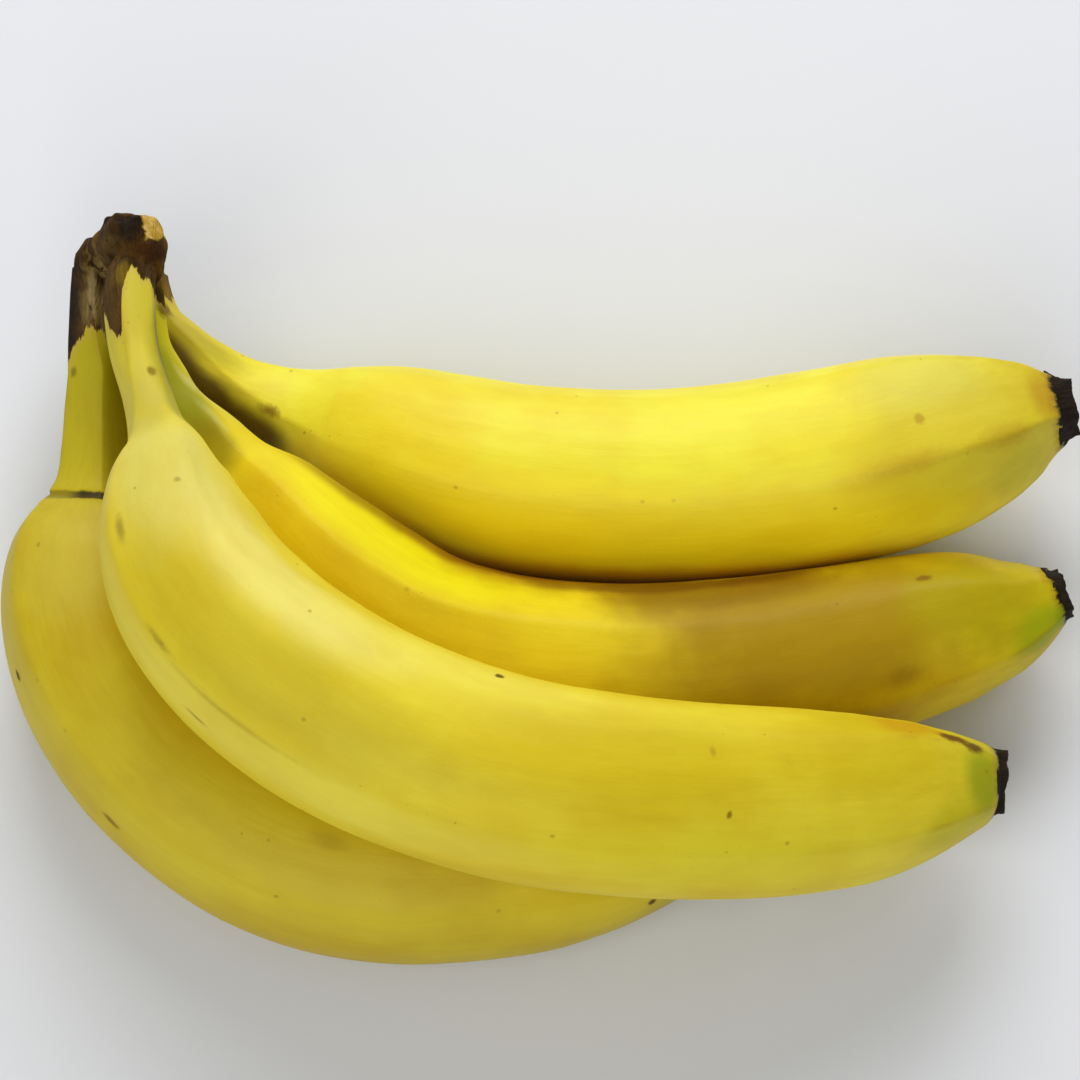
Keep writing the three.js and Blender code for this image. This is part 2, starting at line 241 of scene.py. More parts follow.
bananaB = {
    "name": "banana_b",
    "shine": 0.16,
    "crownReach": 8,
    "blossomLength": 1.8,
    "blossomTurn": 4.43,
    "ridges": [
        (15, 70, 0.75), (26, 63, 0.75), (33, 38, 0.8), (41, 18, 0.7), (55, 12, 0.65), (75, 8, 0.65),
        (100, 12, 0.6), (122, 16, 0.4), (148, 14, 0.14), (190, 14, 0.16), (215, 14, 0.55),
    ],
    "stations": [
        [-76.7, 64.5, 34, 4.2], [-76.7, 56.5, 34, 5], [-75.5, 46, 34, 5.3], [-73, 40.5, 33.5, 5.7],
        [-69.5, 35, 32.5, 6.3], [-64, 29, 31.5, 7], [-58.5, 22, 31, 8.7], [-52.5, 15.5, 31, 11.7],
        [-44, 5.5, 31, 14.6], [-35, -2.5, 28.5, 16.4], [-24, -9.5, 25, 17.6], [-12.5, -13, 22, 18.3],
        [1.5, -15, 20, 18.7], [19, -15.2, 18.6, 18.7], [38, -13.4, 17.8, 18.4], [55, -9.9, 17.3, 17.4],
        [69.5, -6.3, 17.6, 16.1], [80, -4.1, 19, 14.4], [88.5, -2.4, 20, 11.4], [94.5, -0.4, 21, 8.1],
        [98, 1, 21.4, 5.7], [99.5, 1.5, 21.5, 5.1],
    ],
    "barkEdge": [(0, 8), (40, 9), (70, 10.5), (110, 10), (180, 9), (300, 9)],
    "ripe": (238, 214, 16),
    "deep": (226, 188, 4),
    "neckTint": (206, 200, 14),
    "tipTint": (184, 168, 4),
    "neckReach": 44,
    "tipReach": 24,
    "marks": [
        patch(198.2, 24, (0.8, 1.5), (120, 84, 4), 0.75, 0.6),
        patch(188.8, -42, (1.5, 3.4), (140, 104, 0), 0.5, 0.9),
        patch(30, 45, (0.7, 6), (236, 226, 150), 0.3, 0.8),
        patch(39, 27, (0.7, 5), (236, 226, 150), 0.25, 0.8),
        patch(92, 10, (0.8, 26), (204, 168, 6), 0.3, 0.95),
        patch(11, 66, (1.4, 2), (96, 62, 6), 0.8, 0.6),
    ],
    "washes": [
        patch(82, 44, (11, 56), (250, 238, 14), 0.8),
        patch(94, -28, (13, 60), (255, 222, 18), 0.85),
        # painted shade, down to the wash at 66 mm: browns on the side that lies against banana a, and on the
        # far part that banana a shades
        patch(128, 88, (18, 60), (166, 122, 0), 0.8),
        patch(90, 90, (10, 40), (138, 92, 0), 0.8),
        patch(150, 42, (12, 26), (168, 130, 0), 0.8),
        patch(124, 82, (8, 56), (132, 84, 0), 0.75),
        patch(176, 0, (26, 52), (166, 134, 0), 0.95),
        patch(168, 56, (9, 18), (148, 104, 0), 0.75),
        patch(156, 42, (7.5, 28), (132, 98, 0), 0.65),
        patch(146, 57, (4.8, 40), (108, 66, 0), 0.75),
        patch(66, 80, (6, 30), (150, 116, 0), 0.6),
        patch(206, 0, (14, 18), (176, 160, 0), 0.8),
        patch(217, -50, (6, 9), (156, 166, 0), 0.8),
        patch(222, -56, (4, 4), (136, 162, 0), 0.8),
        patch(28, 10, (6, 20), (154, 154, 0), 0.95),
        patch(43, -8, (5.5, 9), (140, 124, 0), 0.65),
        patch(32, 76, (3, 14), (222, 210, 84), 0.7),
    ],
}
bananaC = {
    "name": "banana_c",
    "shine": 0.2,
    "crownReach": 9,
    "blossomLength": 2.2,
    "blossomTurn": 0.43,
    "ridges": [
        (20, 56, 0.6), (30, 44, 0.4), (43, 25, 0.35), (60, 20, 0.3), (90, 22, 0.32), (120, 22, 0.24),
        (200, 22, 0.2), (230, 22, 0.5),
    ],
    "stations": [
        [-76.5, 61.5, 44, 4.2], [-77.5, 54, 45, 4.9], [-76.5, 42.5, 46, 4.8], [-73.8, 32, 47.5, 4.8],
        [-72, 24.5, 49, 5.7], [-70.3, 18.5, 51, 8.3], [-69.4, 10.5, 53.5, 12.3], [-67.4, 1, 55, 15.5],
        [-62.5, -10.5, 56, 17.5], [-54, -21.2, 56.5, 18.6], [-43, -30.2, 56.5, 19.2],
        [-30.5, -37.5, 56, 19.3], [-16.5, -43, 55, 19.2], [-2, -46.6, 53.5, 19.1], [13, -47.8, 50, 18.8],
        [29.5, -47, 43.5, 18.4], [46.5, -44.9, 36.7, 17.6], [60, -42.6, 31.8, 16.2],
        [70, -40.3, 28.7, 13.7], [78, -38.5, 26.5, 10.6], [83.5, -37.6, 25.2, 7.9],
        [85.4, -37.5, 24.9, 6.5], [86.8, -37.6, 24.8, 5.8],
    ],
    "barkEdge": [
        (0, 5.6), (22, 6), (38, 6.6), (55, 8), (80, 9.5), (180, 12), (265, 12.5), (283, 13.8), (306, 17),
        (318, 19), (336, 18.3), (341, 14), (344, 9.5), (350, 7.2), (356, 6),
    ],
    "ripe": (234, 216, 46),
    "deep": (224, 196, 20),
    "neckTint": (196, 182, 52),
    "tipTint": (198, 184, 10),
    "neckReach": 30,
    "tipReach": 20,
    "marks": [
        patch(137.5, 50, (0.9, 0.9), (84, 50, 4), 0.9, 0.35),
        patch(28, 21, (0.9, 1), (124, 104, 0), 0.8, 0.5),
        patch(59, 8, (0.6, 0.5), (150, 130, 40), 0.6, 0.6),
        patch(63.8, -41, (0.8, 2.2), (150, 128, 40), 0.65, 0.8),
        patch(82.2, -49, (0.6, 2.6), (150, 124, 30), 0.55, 0.8),
        patch(96, -52, (0.5, 12), (176, 150, 34), 0.5, 0.9),
        patch(92.8, -74, (0.5, 1.8), (140, 108, 30), 0.6, 0.7),
        patch(179.5, -27, (0.7, 0.6), (120, 86, 6), 0.8, 0.5),
        patch(176.2, 10, (0.9, 0.6), (160, 126, 14), 0.5, 0.7),
        patch(231.5, 32, (1.7, 3.8), (104, 60, 4), 0.95, 0.5),
        patch(235, 24, (1.4, 2.8), (96, 56, 4), 0.9, 0.5),
    ],
    "washes": [
        # the next two are painted highlights along the upper side
        patch(86, 28, (10, 44), (242, 234, 132), 0.6),
        patch(128, 44, (8, 46), (246, 232, 90), 0.45),
        # painted shade: a darker olive band along the middle
        patch(94, -20, (12, 58), (198, 178, 34), 0.7),
        patch(160, 0, (14, 46), (212, 188, 14), 0.65),
        # painted bounce light: a paler band along the lower side
        patch(110, -66, (8, 60), (236, 222, 84), 0.5),
        patch(176, -58, (9, 34), (232, 216, 40), 0.6),
        patch(212, 14, (16, 26), (208, 184, 8), 0.75),
        patch(236, -16, (9, 6), (154, 160, 0), 0.85),
        patch(228, -56, (8, 12), (198, 186, 0), 0.7),
        patch(222, 42, (6, 12), (208, 158, 14), 0.75),
        patch(32, 62, (4, 22), (156, 150, 6), 0.7),
        # painted shade that tones down the light caught on the facet beyond the neck's ridge
        patch(21, 92, (4, 14), (110, 100, 4), 0.9),
        patch(36, -18, (6.5, 16), (196, 184, 70), 0.75),
        patch(56, 0, (15, 22), (218, 208, 104), 0.75),
    ],
}
bananaD = {
    "name": "banana_d",
    "shine": 0.26,
    "crownReach": 16.5,
    "blossomLength": 3,
    "blossomTurn": 6.15,
    "ridges": [
        (18, -1, 0.9), (25, 12, 0.95), (32, 9, 0.95), (47, 11, 0.8), (60, 18, 0.4), (85, 25, 0.25),
        (190, 25, 0.25), (215, 25, 0.6),
    ],
    "stations": [
        [-85, 68.5, 27, 4.6], [-85.1, 60.5, 27, 4.9], [-84.9, 50, 27, 5.3], [-84.6, 39, 26.5, 6.1],
        [-84.6, 29, 26, 6.8], [-84.8, 22, 25, 7.8], [-85.3, 16.5, 24, 11.2], [-86, 9, 22.7, 15.7],
        [-85.2, -0.5, 20.7, 18], [-82.2, -12.7, 19.2, 18.2], [-74.3, -26.3, 18.6, 18.2],
        [-64, -37, 18.4, 18.2], [-52, -45, 18.4, 18.4], [-39, -50, 18.4, 18.4], [-25.5, -52, 18.4, 18.2],
        [-11.5, -52, 17.9, 17.3], [2, -50.7, 16.5, 16.1], [13, -49, 14.7, 13.5], [23.5, -46.7, 12.7, 10],
        [32, -44.8, 11.2, 6.7], [36, -43.6, 10.6, 5.2], [39, -42.6, 10.3, 4.6],
    ],
    "barkEdge": [
        (0, 17.4), (15, 18), (40, 18), (90, 18), (180, 20), (265, 23.5), (290, 22.4), (304, 20.6),
        (325, 18.6), (340, 17), (347, 16.4), (354, 16.8),
    ],
    "ripe": (210, 190, 24),
    "deep": (196, 168, 6),
    "neckTint": (172, 162, 20),
    "tipTint": (170, 164, 20),
    "neckReach": 50,
    "tipReach": 24,
    "marks": [
        patch(80.2, -69, (0.9, 0.8), (84, 54, 6), 0.9, 0.4),
        patch(25, -49, (0.6, 1), (104, 88, 0), 0.7, 0.6),
        patch(199.2, -71, (0.9, 0.8), (80, 50, 4), 0.9, 0.4),
        patch(106.8, -71, (0.7, 1.6), (120, 84, 8), 0.75, 0.6),
        patch(142, -8, (1.4, 3), (160, 130, 10), 0.4, 0.9),
    ],
    "washes": [
        patch(64, -10, (13, 16), (200, 182, 60), 0.7),
        # painted shade: darker amber on the side that lies under banana c
        patch(110, 40, (14, 66), (206, 168, 0), 0.7),
        patch(128, -50, (9, 60), (220, 200, 46), 0.5),
        patch(190, -40, (14, 26), (226, 202, 36), 0.6),
        # painted shade: the neck's facet that faces banana c, darker than the lit one
        patch(34, 48, (5, 26), (140, 124, 0), 0.7),
    ],
    "crease": {"along": 50, "depth": 0.9, "width": 0.75},  # the skin is pinched where the neck ends
}
bananas = [bananaA, bananaB, bananaC, bananaD]


def bananaPiece(banana, seed):
    path = pathOf(banana["stations"])
    banana["path"] = path
    sides, ringGap = 140, 0.8
    start = 3.2  # inside the crown, which covers it
    end = path["length"] - banana["blossomLength"] + 0.5  # inside the dried flower
    distances = np.linspace(start, end, round((end - start) / ringGap))
    angles = np.arange(sides) * 2 * math.pi / sides
    _, half, _, _, _ = path["at"](distances)
    ring, turn = (grid.ravel() for grid in np.meshgrid(distances, angles, indexing="ij"))
    halfHere = np.repeat(half, sides)
    lengthwise = np.stack([ring, 0 * ring, 0 * ring], 1)
    wander = 0.04 * roughOf(lengthwise, 38, seed)  # ridges aren't quite straight
    ridge = ridgeAt(banana, ring) + wander
    outline = outlineOf(turn, ridge, sharpnessOf(banana, ring))
    unbent = np.stack([halfHere * np.cos(turn), halfHere * np.sin(turn), ring], 1)
    swell = 0.2 * roughOf(unbent * (1, 1, 0.35), 9, seed + 2)  # long and soft
    swell += 0.06 * roughOf(unbent * (1, 1, 0.3), 2.4, seed + 5)
    swell *= np.clip(halfHere / 12, 0.35, 1)  # less on the thin neck
    if "crease" in banana:
        crease = banana["crease"]
        swell -= crease["depth"] * np.exp(-(((ring - crease["along"]) / crease["width"]) ** 2))
    outline += swell / halfHere
    points = tubePoints(path, distances, angles, outline.reshape(len(distances), sides))
    points[..., 2] = np.maximum(points[..., 2], 0)  # pressed flat where it lies
    ends = [points[0].mean(0), points[-1].mean(0)]
    vertices = np.vstack([points.reshape(-1, 3), ends])
    degrees, reaches = zip(*banana["barkEdge"])
    edge = np.interp(np.degrees(turn), (*degrees, 360), (*reaches, reaches[0]))

    def both(values, near, far):
        return np.concatenate([values, [near, far]])

    layers = {
        "unbent": np.vstack([unbent, [0, 0, start], [0, 0, end]]),
        "ridgeMm": both(fromRidge(turn, ridge, 0) * halfHere, 0, 0),
        "fromCrown": both(ring - banana["crownReach"], 0, end),
        "fromTip": both(path["length"] - banana["blossomLength"] - ring, end, 0),
        "fromBark": both(ring - edge, -3, end),
    }
    return meshOf(banana["name"] + "_skin", vertices * mm, tubeFaces(len(distances), sides), layers)


# Shader helpers

def paint(red, green, blue):  # a colour as seen on a screen, 0 to 255, as the shader's linear one
    shares = [channel / 255 for channel in (red, green, blue)]
    linear = [c / 12.92 if c <= 0.04045 else ((c + 0.055) / 1.055) ** 2.4 for c in shares]
    return (*linear, 1)


def feed(tree, socket, value):
    if isinstance(value, bpy.types.NodeSocket):
        tree.links.new(value, socket)
    elif value is not None:
        socket.default_value = value


def calc(tree, operation, *values):
    node = tree.nodes.new("ShaderNodeMath")
    node.operation = operation
    for socket, value in zip(node.inputs, values):
        feed(tree, socket, value)
    return node.outputs[0]


def vectorCalc(tree, operation, *values, result=0):
    node = tree.nodes.new("ShaderNodeVectorMath")
    node.operation = operation
    for socket, value in zip(node.inputs, values):
        feed(tree, socket, value)
    return node.outputs[result]


def ramp(tree, value, low, high, first=0.0, second=1.0):
    node = tree.nodes.new("ShaderNodeMapRange")
    node.interpolation_type = "SMOOTHSTEP"
    for socket, given in zip(node.inputs, (value, low, high, first, second)):
        feed(tree, socket, given)
    return node.outputs[0]


def mixed(tree, share, first, second, blend="MIX"):
    node = tree.nodes.new("ShaderNodeMix")
    node.data_type = "RGBA"
    node.blend_type = blend
    feed(tree, node.inputs[0], share)
    feed(tree, node.inputs[6], first)
    feed(tree, node.inputs[7], second)
    return node.outputs[2]


def tinted(tree, color, mask, amount, tint, blend="MIX"):  # the colour with some of a tint where the mask is
    return mixed(tree, calc(tree, "MULTIPLY", mask, amount), color, paint(*tint), blend)


def noisy(tree, vector, scale, detail=3.0, rough=0.55):
    node = tree.nodes.new("ShaderNodeTexNoise")
    feed(tree, node.inputs["Vector"], vector)
    feed(tree, node.inputs["Scale"], scale)
    node.inputs["Detail"].default_value = detail
    node.inputs["Roughness"].default_value = rough
    return node.outputs[0]


def newGroup(name, inputs, outputs):
    group = bpy.data.node_groups.new(name, "ShaderNodeTree")
    kinds = {"value": "NodeSocketFloat", "vector": "NodeSocketVector", "color": "NodeSocketColor"}
    for label, kind, value in inputs:
        socket = group.interface.new_socket(name=label, in_out="INPUT", socket_type=kinds[kind])
        if value is not None:
            socket.default_value = value
    for label, kind in outputs:
        group.interface.new_socket(name=label, in_out="OUTPUT", socket_type=kinds[kind])
    into = group.nodes.new("NodeGroupInput").outputs
    out = group.nodes.new("NodeGroupOutput").inputs
    return group, into, out


# Adds a group, feeds its named inputs, and gives one output or all
def use(tree, group, result=None, **values):
    node = tree.nodes.new("ShaderNodeGroup")
    node.node_tree = group
    for label, value in values.items():
        feed(tree, node.inputs[label], value)
    return node.outputs if result is None else node.outputs[result]


# Effects that several materials share

# Long fibres: noise that is drawn out along the banana
fibres, into, out = newGroup(
    "fibres",
    [("Vector", "vector", None), ("Spacing", "value", 1.0), ("Stretch", "value", 14.0)],
    [("Value", "value")],
)
drawn = fibres.nodes.new("ShaderNodeCombineXYZ")
drawn.inputs[0].default_value = drawn.inputs[1].default_value = 1
feed(fibres, drawn.inputs[2], calc(fibres, "DIVIDE", 1, into["Stretch"]))
stretched = vectorCalc(fibres, "MULTIPLY", into["Vector"], drawn.outputs[0])
grain = noisy(fibres, stretched, calc(fibres, "DIVIDE", 1, into["Spacing"]), 4, 0.6)
feed(fibres, out["Value"], ramp(fibres, grain, 0.32, 0.68))

# Small round specks, each in a cell of its own, on a share of the cells
specks, into, out = newGroup(
    "specks",
    [
        ("Vector", "vector", None), ("Spacing", "value", 3.0), ("Size", "value", 0.15),
        ("Share", "value", 0.3),
    ],
    [("Mask", "value")],
)
cells = specks.nodes.new("ShaderNodeTexVoronoi")
feed(specks, cells.inputs["Vector"], into["Vector"])
feed(specks, cells.inputs["Scale"], calc(specks, "DIVIDE", 1, into["Spacing"]))
chance = specks.nodes.new("ShaderNodeSeparateColor")
feed(specks, chance.inputs[0], cells.outputs["Color"])
radius = calc(specks, "MULTIPLY", into["Size"], calc(specks, "ADD", 0.4, chance.outputs[1]))
spot = ramp(specks, cells.outputs["Distance"], calc(specks, "MULTIPLY", radius, 0.5), radius, 1, 0)
chosen = calc(specks, "LESS_THAN", chance.outputs[0], into["Share"])
feed(specks, out["Mask"], calc(specks, "MULTIPLY", spot, chosen))

# One mark at a known place, with an uneven outline
mark, into, out = newGroup(
    "mark",
    [
        ("Vector", "vector", None), ("Place", "vector", None), ("Size", "vector", (1, 1, 1)),
        ("Softness", "value", 0.5),
    ],
    [("Mask", "value")],
)
offset = vectorCalc(mark, "SUBTRACT", into["Vector"], into["Place"])
away = vectorCalc(mark, "LENGTH", vectorCalc(mark, "DIVIDE", offset, into["Size"]), result=1)
uneven = calc(mark, "MULTIPLY_ADD", noisy(mark, into["Vector"], 0.9, 3), 1.1, -0.55)
low = calc(mark, "SUBTRACT", 1, into["Softness"])
high = calc(mark, "ADD", 1, into["Softness"])
feed(mark, out["Mask"], ramp(mark, calc(mark, "ADD", away, uneven), low, high, 1, 0))

# A wide soft wash of colour round a place
wash, into, out = newGroup(
    "wash",
    [
        ("Vector", "vector", None), ("Place", "vector", None), ("Size", "vector", (1, 1, 1)),
        ("Grain", "value", 0.09),
    ],
    [("Mask", "value")],
)
offset = vectorCalc(wash, "SUBTRACT", into["Vector"], into["Place"])
away = vectorCalc(wash, "LENGTH", vectorCalc(wash, "DIVIDE", offset, into["Size"]), result=1)
uneven = calc(wash, "MULTIPLY_ADD", noisy(wash, into["Vector"], into["Grain"], 3), 0.5, -0.25)
feed(wash, out["Mask"], ramp(wash, calc(wash, "ADD", away, uneven), 0.35, 1.05, 1, 0))

# A zone that ends at a distance, with a ragged border drawn out along the fibres
zone, into, out = newGroup(
    "zone",
    [
        ("Vector", "vector", None), ("Distance", "value", 0.0), ("Reach", "value", 5.0),
        ("Softness", "value", 1.0), ("Ragged", "value", 1.0),
    ],
    [("Mask", "value")],
)
jagged = use(zone, fibres, "Value", Vector=into["Vector"], Spacing=1.5, Stretch=5)
swing = calc(zone, "MULTIPLY", into["Ragged"], 2)
swing = calc(zone, "MULTIPLY", calc(zone, "SUBTRACT", jagged, 0.5), swing)
shifted = calc(zone, "ADD", into["Distance"], swing)
low = calc(zone, "SUBTRACT", into["Reach"], into["Softness"])
high = calc(zone, "ADD", into["Reach"], into["Softness"])
feed(zone, out["Mask"], ramp(zone, shifted, low, high, 1, 0))

# Dried bark, from the place on the object, so that it runs on from the crown to the necks
bark, into, out = newGroup(
    "bark",
    [("Place", "vector", None)],
    [("Color", "color"), ("Height", "value"), ("Roughness", "value")],
)
inMm = vectorCalc(bark, "MULTIPLY", into["Place"], (1 / mm, 1 / mm, 1 / mm))
turned = bark.nodes.new("ShaderNodeMapping")
turned.inputs["Rotation"].default_value = (math.radians(-70), 0, 0)  # its third axis now runs down the necks
feed(bark, turned.inputs["Vector"], inMm)
downNecks = turned.outputs[0]
wide = use(bark, fibres, "Value", Vector=downNecks, Spacing=1.9, Stretch=8)
fine = use(bark, fibres, "Value", Vector=downNecks, Spacing=0.5, Stretch=12)
blotch = noisy(bark, downNecks, 0.2, 3)
brown = mixed(bark, ramp(bark, blotch, 0.35, 0.65), paint(46, 26, 2), paint(98, 66, 12))
brown = tinted(bark, brown, ramp(bark, wide, 0.5, 0.95), 0.16, (120, 96, 50))
# Where it is greyer, where it is nearly black and where it is still half ripe: each patch's place and half
# size in mm, its colour, how strong it is, and the range of stripes that it shows in
barkPatches = [
    ((-90.5, 57, 29), (3.6, 16, 9), (22, 11, 0), 0.85, (-0.6, 0.3)),
    ((-85.2, 58, 32), (5, 14, 9), (128, 106, 54), 0.95, (0.1, 0.75)),
    ((-86.1, 57, 31.7), (1.5, 8, 6), (160, 136, 84), 0.8, (0, 0.8)),
    ((-83.7, 60.5, 33), (1.9, 9, 7), (150, 126, 72), 0.8, (0, 0.8)),
    ((-82.5, 63, 45), (3, 7, 7), (92, 76, 38), 0.8, (0, 0.8)),
    ((-80.5, 50, 47), (5, 10, 6), (96, 70, 16), 0.85, (-0.2, 0.8)),
    ((-71.5, 58, 29), (6, 9, 12), (146, 114, 18), 0.95, (-0.6, 0.4)),
    ((-73.2, 55, 37), (2.2, 3, 5), (60, 36, 2), 0.8, (-0.6, 0.4)),
    ((-79.4, 54.6, 49.2), (2.8, 3.6, 5), (130, 104, 14), 0.85, (-0.2, 0.5)),
    ((-79.2, 65, 49), (5.2, 5.2, 5.5), (12, 7, 2), 0.9, (-0.6, 0.3)),
    ((-74, 60, 47), (6, 3, 4), (62, 30, 4), 0.8, (-0.6, 0.3)),
]
for place, size, tint, amount, stripes in barkPatches:
    here = use(bark, wash, "Mask", Vector=inMm, Place=place, Size=size, Grain=0.3)
    here = calc(bark, "MULTIPLY", here, ramp(bark, wide, *stripes))
    brown = tinted(bark, brown, here, amount, tint)
brown = tinted(bark, brown, fine, 0.3, (24, 12, 2))
feed(bark, out["Color"], brown)
relief = calc(bark, "ADD", calc(bark, "MULTIPLY", wide, 0.7), calc(bark, "MULTIPLY", fine, 0.3))
feed(bark, out["Height"], relief)
feed(bark, out["Roughness"], calc(bark, "MULTIPLY_ADD", fine, 0.15, 0.8))


# Materials

def newMaterial(name):
    material = bpy.data.materials.new(name)
    material.use_nodes = True
    tree = material.node_tree
    return material, tree, tree.nodes["Principled BSDF"]


def layerOf(tree, name, result="Fac"):
    node = tree.nodes.new("ShaderNodeAttribute")
    node.attribute_type = "GEOMETRY"
    node.attribute_name = name
    return node.outputs[result]


def objectPlace(tree):
    return tree.nodes.new("ShaderNodeTexCoord").outputs["Object"]


def bumped(tree, shader, height, depth):  # the depth is in mm
    bump = tree.nodes.new("ShaderNodeBump")
    bump.inputs["Strength"].default_value = 1
    bump.inputs["Distance"].default_value = depth * mm
    feed(tree, bump.inputs["Height"], height)
    feed(tree, shader.inputs["Normal"], bump.outputs[0])


def skinMaterial(banana):
    material, tree, shader = newMaterial(banana["name"] + "_skin")
    unbent = layerOf(tree, "unbent", "Vector")
    fromCrown, fromTip = layerOf(tree, "fromCrown"), layerOf(tree, "fromTip")
    ridgeMm, fromBark = layerOf(tree, "ridgeMm"), layerOf(tree, "fromBark")

    patches = ramp(tree, noisy(tree, unbent, 0.035, 3), 0.35, 0.68)
    color = mixed(tree, patches, paint(*banana["ripe"]), paint(*banana["deep"]))
    coarse = use(tree, fibres, "Value", Vector=unbent, Spacing=2.2, Stretch=16)
    fine = use(tree, fibres, "Value", Vector=unbent, Spacing=0.5, Stretch=20)
    color = tinted(tree, color, coarse, 0.2, banana["deep"])
    color = tinted(tree, color, fine, 0.05, (255, 240, 120))
    mottle = use(tree, fibres, "Value", Vector=unbent, Spacing=5, Stretch=3)

    def within(distance, reach, softness, ragged):
        place = {"Vector": unbent, "Distance": distance}
        return use(tree, zone, "Mask", **place, Reach=reach, Softness=softness, Ragged=ragged)

    neck = within(fromCrown, banana["neckReach"] * 0.6, banana["neckReach"] * 0.4, 3)
    color = tinted(tree, color, neck, 0.8, banana["neckTint"])
    tip = within(fromTip, banana["tipReach"] * 0.5, banana["tipReach"] * 0.5, 2.5)
    color = tinted(tree, color, tip, 0.75, banana["tipTint"])

    def placeOf(given):
        _, half, _, _, _ = banana["path"]["at"](np.array([given["along"]]))
        angle = math.radians(given["angle"])
        across, lengthwise = given["size"]
        place = (half[0] * math.cos(angle), half[0] * math.sin(angle), given["along"])
        return place, (across, across, lengthwise)

    for given in banana["washes"]:
        place, size = placeOf(given)
        here = use(tree, wash, "Mask", Vector=unbent, Place=place, Size=size)
        color = tinted(tree, color, here, given["amount"], given["color"])

    # the ridges: a thin line that is brown near the ends and broken elsewhere
    line = ramp(tree, ridgeMm, 0.2, 0.9, 1, 0)
    broken = ramp(tree, noisy(tree, unbent, 0.12, 3), 0.45, 0.65)
    ends = calc(tree, "MAXIMUM", ramp(tree, fromCrown, 12, 50, 1, 0.15), ramp(tree, fromTip, 4, 40, 1, 0.15))
    line = calc(tree, "MULTIPLY", line, ends)
    line = calc(tree, "MULTIPLY", line, calc(tree, "MULTIPLY_ADD", broken, 0.6, 0.1))
    color = tinted(tree, color, line, 0.4, (170, 132, 10))

    color = tinted(tree, color, mottle, 0.3, (236, 226, 168), "MULTIPLY")
    dots = use(tree, specks, "Mask", Vector=unbent, Spacing=1.5, Size=0.3, Share=0.35)
    dots = calc(tree, "MULTIPLY", calc(tree, "MULTIPLY", dots, ramp(tree, ridgeMm, 0.5, 1.4, 1, 0)), broken)
    color = tinted(tree, color, dots, 0.5, (140, 106, 6))

    freckles = use(tree, specks, "Mask", Vector=unbent, Spacing=4.2, Size=0.1, Share=0.16)
    color = tinted(tree, color, freckles, 0.45, (150, 108, 8))
    dust = use(tree, specks, "Mask", Vector=unbent, Spacing=1.6, Size=0.14, Share=0.2)
    color = tinted(tree, color, dust, 0.14, (168, 130, 10))

    rough = calc(tree, "MULTIPLY_ADD", fine, 0.08, 0.47)
    for given in banana["marks"]:
        place, size = placeOf(given)
        here = use(tree, mark, "Mask", Vector=unbent, Place=place, Size=size, Softness=given["soft"])
        here = calc(tree, "MULTIPLY", here, given["amount"])
        color = mixed(tree, here, color, paint(*given["color"]))
        rough = calc(tree, "MULTIPLY_ADD", here, 0.25, rough)

    if "crease" in banana:
        creaseAt = banana["crease"]["along"] - banana["crownReach"]
        fromCrease = calc(tree, "ABSOLUTE", calc(tree, "SUBTRACT", fromCrown, creaseAt))
        fromCrease = calc(tree, "ADD", fromCrease, calc(tree, "MULTIPLY", coarse, 0.3))
        side = tree.nodes.new("ShaderNodeSeparateXYZ")
        feed(tree, side.inputs[0], unbent)
        crease = ramp(tree, fromCrease, 0.65, 1.3, 0.95, 0)
        # fainter on the outer side, and nearly gone underneath
        crease = calc(tree, "MULTIPLY", crease, ramp(tree, side.outputs[1], -6, -1.5, 0.5, 1))
        crease = calc(tree, "MULTIPLY", crease, ramp(tree, side.outputs[0], -1, 3.5, 0.2, 1))
        color = mixed(tree, crease, color, paint(46, 30, 0))

    # the skin browns at the dried flower, and turns to bark at the crown
    browned = within(fromTip, 0.5, 1.7, 0.4)
    color = tinted(tree, color, browned, 0.75, (120, 80, 6))
    scorched = within(fromTip, 0.1, 0.5, 0.5)
    color = mixed(tree, scorched, color, paint(30, 16, 2))
    halo = within(fromBark, 1.1, 1.6, 1.6)
    color = tinted(tree, color, halo, 0.5, (196, 158, 74))
    dried = use(tree, bark, Place=objectPlace(tree))
    barky = within(fromBark, 0, 0.35, 1.1)
    color = mixed(tree, barky, color, dried["Color"])
    dry = calc(tree, "MULTIPLY", calc(tree, "MAXIMUM", barky, scorched), 0.92)
    rough = calc(tree, "MAXIMUM", rough, dry)

    feed(tree, shader.inputs["Base Color"], color)
    feed(tree, shader.inputs["Roughness"], rough)
    shader.inputs["Specular IOR Level"].default_value = banana["shine"]
    pores = noisy(tree, unbent, 2.4, 3)
    height = calc(tree, "ADD", calc(tree, "MULTIPLY", fine, 0.1), calc(tree, "MULTIPLY", pores, 0.25))
    height = calc(tree, "ADD", height, calc(tree, "MULTIPLY", coarse, 0.25))
    barkHeight = calc(tree, "MULTIPLY", barky, dried["Height"])
    height = calc(tree, "ADD", height, calc(tree, "MULTIPLY", barkHeight, 5))
    bumped(tree, shader, height, 0.09)
    return material


def barkMaterial():
    material, tree, shader = newMaterial("crown_bark")
    dried = use(tree, bark, Place=objectPlace(tree))
    # the cut face: an olive rim, and pale wood inside it
    pith = noisy(tree, objectPlace(tree), 0.42 / mm, 4)
    flesh = mixed(tree, ramp(tree, pith, 0.35, 0.65), paint(208, 174, 92), paint(176, 140, 46))
    cut = calc(tree, "ADD", layerOf(tree, "cutFace"), calc(tree, "MULTIPLY_ADD", pith, 0.9, -0.45))
    color = mixed(tree, ramp(tree, cut, 0.15, 0.4), dried["Color"], paint(118, 98, 16))
    color = mixed(tree, ramp(tree, cut, 0.45, 0.8), color, flesh)
    feed(tree, shader.inputs["Base Color"], color)
    feed(tree, shader.inputs["Roughness"], dried["Roughness"])
    shader.inputs["Specular IOR Level"].default_value = 0.14
    bumped(tree, shader, dried["Height"], 0.45)
    return material


